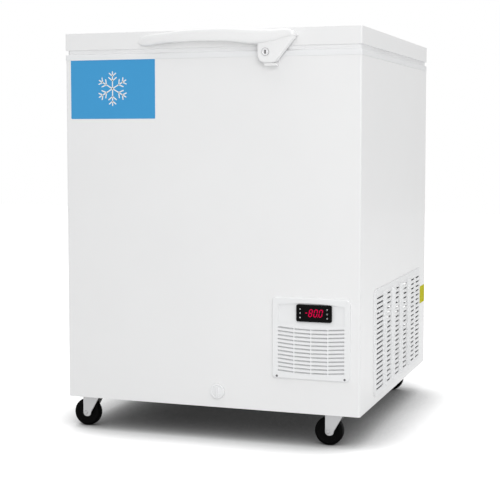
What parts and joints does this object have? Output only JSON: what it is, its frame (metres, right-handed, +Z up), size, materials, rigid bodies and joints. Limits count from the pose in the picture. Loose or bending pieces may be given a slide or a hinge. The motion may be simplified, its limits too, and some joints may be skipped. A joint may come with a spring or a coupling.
{
  "type": "chest ultra low temperature freezer",
  "caption": "Small laboratory chest freezer on swivel castors, with a hinged top lid, a moulded handle with a turning lock, a stepped insulated tank and a machine bay behind grilles.",
  "frame": {"origin": "on the floor under the middle of the cabinet", "axes": "+Z up, -Y towards the front with the handle and controller, +X towards the side with the long machine grille"},
  "size_m": [0.722, 0.783, 0.9312],
  "materials": {
    "white_sheet": "satin powder coat",
    "zinc_sheet": "bare galvanised sheet",
    "steel": "zinc plated steel",
    "liner_steel": "brushed stainless sheet",
    "grey_plastic": "light grey moulded plastic",
    "panel_plastic": "fine textured light grey plastic",
    "black_plastic": "gloss black plastic",
    "key_plastic": "black keys with white signs",
    "window": "smoked window",
    "gasket_rubber": "soft grey vinyl",
    "black_rubber": "black rubber",
    "wheel_black": "black nylon",
    "fork_steel": "bright zinc plate",
    "foam": "rigid foam",
    "copper": "bare copper",
    "aluminium": "mill finish",
    "black_steel": "black enamel",
    "fan_plastic": "dark moulded plastic",
    "chrome": "chrome plate",
    "dark_screw": "dark coated",
    "inlet_black": "black plastic"
  },
  "bodies": {
    "cabinet": {"base_pan": "zinc_sheet", "bay_partition": "zinc_sheet", "cabinet_foam": "foam", "cabinet_wrap": "white_sheet", "capillary_tube": "copper", "caster_plates": "fork_steel", "compressor_feet": "black_rubber", "compressor_shell": "black_steel", "condenser_fins": "aluminium", "condenser_tubes": "aluminium", "controller_bezel": "black_plastic", "controller_case": "key_plastic", "discharge_pipe": "copper", "display_window": "window", "drain_tube": "grey_plastic", "evaporator_coil": "aluminium", "fan_motor": "black_steel", "fan_shroud": "zinc_sheet", "filter_drier": "copper", "front_grille": "panel_plastic", "hinge_brackets": "steel", "hinge_pins": "chrome", "inner_liner": "liner_steel", "liquid_pipe": "copper", "lock_keeper": "steel", "panel_screws": "dark_screw", "power_inlet": "inlet_black", "rear_cover": "zinc_sheet", "rear_panel": "zinc_sheet", "side_grille": "panel_plastic", "suction_pipe": "copper", "terminal_box": "inlet_black", "top_frame": "grey_plastic"},
    "lid": {"lid_skin": "white_sheet", "lid_foam": "foam", "lid_liner": "grey_plastic", "lid_gasket": "gasket_rubber", "hinge_arms": "steel", "lid_handle": "panel_plastic", "lock_barrel": "chrome"},
    "lock": {"lock_plug": "chrome", "lock_hook": "steel"},
    "fan": {"fan_blades": "fan_plastic"},
    "drain_plug": {"drain_plug": "panel_plastic"},
    "key_1": {"controller_key_1": "key_plastic"},
    "key_2": {"controller_key_2": "key_plastic"},
    "key_3": {"controller_key_3": "key_plastic"},
    "key_4": {"controller_key_4": "key_plastic"},
    "key_5": {"controller_key_5": "key_plastic"},
    "key_6": {"controller_key_6": "key_plastic"},
    "fork_1": {"caster_fork_1": "fork_steel"},
    "wheel_1": {"caster_wheel_1": "wheel_black"},
    "fork_2": {"caster_fork_2": "fork_steel"},
    "wheel_2": {"caster_wheel_2": "wheel_black"},
    "fork_3": {"caster_fork_3": "fork_steel"},
    "wheel_3": {"caster_wheel_3": "wheel_black"},
    "fork_4": {"caster_fork_4": "fork_steel"},
    "wheel_4": {"caster_wheel_4": "wheel_black"}
  },
  "joints": [
    {"name": "lid_hinge", "type": "hinge", "parent": "cabinet", "child": "lid", "pos_m": [0, 0.379, 0.887], "axis": [-1, 0, 0], "range_deg": [0, 85]},
    {"name": "lock_turn", "type": "hinge", "parent": "lid", "child": "lock", "pos_m": [0.143, -0.37, 0.8775], "axis": [0, 1, 0], "range_deg": [0, 90]},
    {"name": "fan_spin", "type": "hinge", "parent": "cabinet", "child": "fan", "pos_m": [0.24, -0.27, 0.186], "axis": [0, 1, 0], "continuous": true},
    {"name": "drain_pull", "type": "slide", "parent": "cabinet", "child": "drain_plug", "axis": [0, -1, 0], "range_m": [0, 0.03]},
    {"name": "key_1_press", "type": "slide", "parent": "cabinet", "child": "key_1", "axis": [0, 1, 0], "range_m": [0, 0.0005], "stiffness_N_per_m": 400},
    {"name": "key_2_press", "type": "slide", "parent": "cabinet", "child": "key_2", "axis": [0, 1, 0], "range_m": [0, 0.0005], "stiffness_N_per_m": 400},
    {"name": "key_3_press", "type": "slide", "parent": "cabinet", "child": "key_3", "axis": [0, 1, 0], "range_m": [0, 0.0005], "stiffness_N_per_m": 400},
    {"name": "key_4_press", "type": "slide", "parent": "cabinet", "child": "key_4", "axis": [0, 1, 0], "range_m": [0, 0.0005], "stiffness_N_per_m": 400},
    {"name": "key_5_press", "type": "slide", "parent": "cabinet", "child": "key_5", "axis": [0, 1, 0], "range_m": [0, 0.0005], "stiffness_N_per_m": 400},
    {"name": "key_6_press", "type": "slide", "parent": "cabinet", "child": "key_6", "axis": [0, 1, 0], "range_m": [0, 0.0005], "stiffness_N_per_m": 400},
    {"name": "caster_1_swivel", "type": "hinge", "parent": "cabinet", "child": "fork_1", "pos_m": [-0.3, -0.322, 0.07], "axis": [0, 0, 1], "continuous": true},
    {"name": "caster_1_roll", "type": "hinge", "parent": "fork_1", "child": "wheel_1", "pos_m": [-0.325, -0.322, 0.0325], "axis": [0, 1, 0], "continuous": true},
    {"name": "caster_2_swivel", "type": "hinge", "parent": "cabinet", "child": "fork_2", "pos_m": [-0.3, 0.322, 0.07], "axis": [0, 0, 1], "continuous": true},
    {"name": "caster_2_roll", "type": "hinge", "parent": "fork_2", "child": "wheel_2", "pos_m": [-0.325, 0.322, 0.0325], "axis": [0, 1, 0], "continuous": true},
    {"name": "caster_3_swivel", "type": "hinge", "parent": "cabinet", "child": "fork_3", "pos_m": [0.3, -0.322, 0.07], "axis": [0, 0, 1], "continuous": true},
    {"name": "caster_3_roll", "type": "hinge", "parent": "fork_3", "child": "wheel_3", "pos_m": [0.275, -0.322, 0.0325], "axis": [0, 1, 0], "continuous": true},
    {"name": "caster_4_swivel", "type": "hinge", "parent": "cabinet", "child": "fork_4", "pos_m": [0.3, 0.322, 0.07], "axis": [0, 0, 1], "continuous": true},
    {"name": "caster_4_roll", "type": "hinge", "parent": "fork_4", "child": "wheel_4", "pos_m": [0.275, 0.322, 0.0325], "axis": [0, 1, 0], "continuous": true}
  ]
}
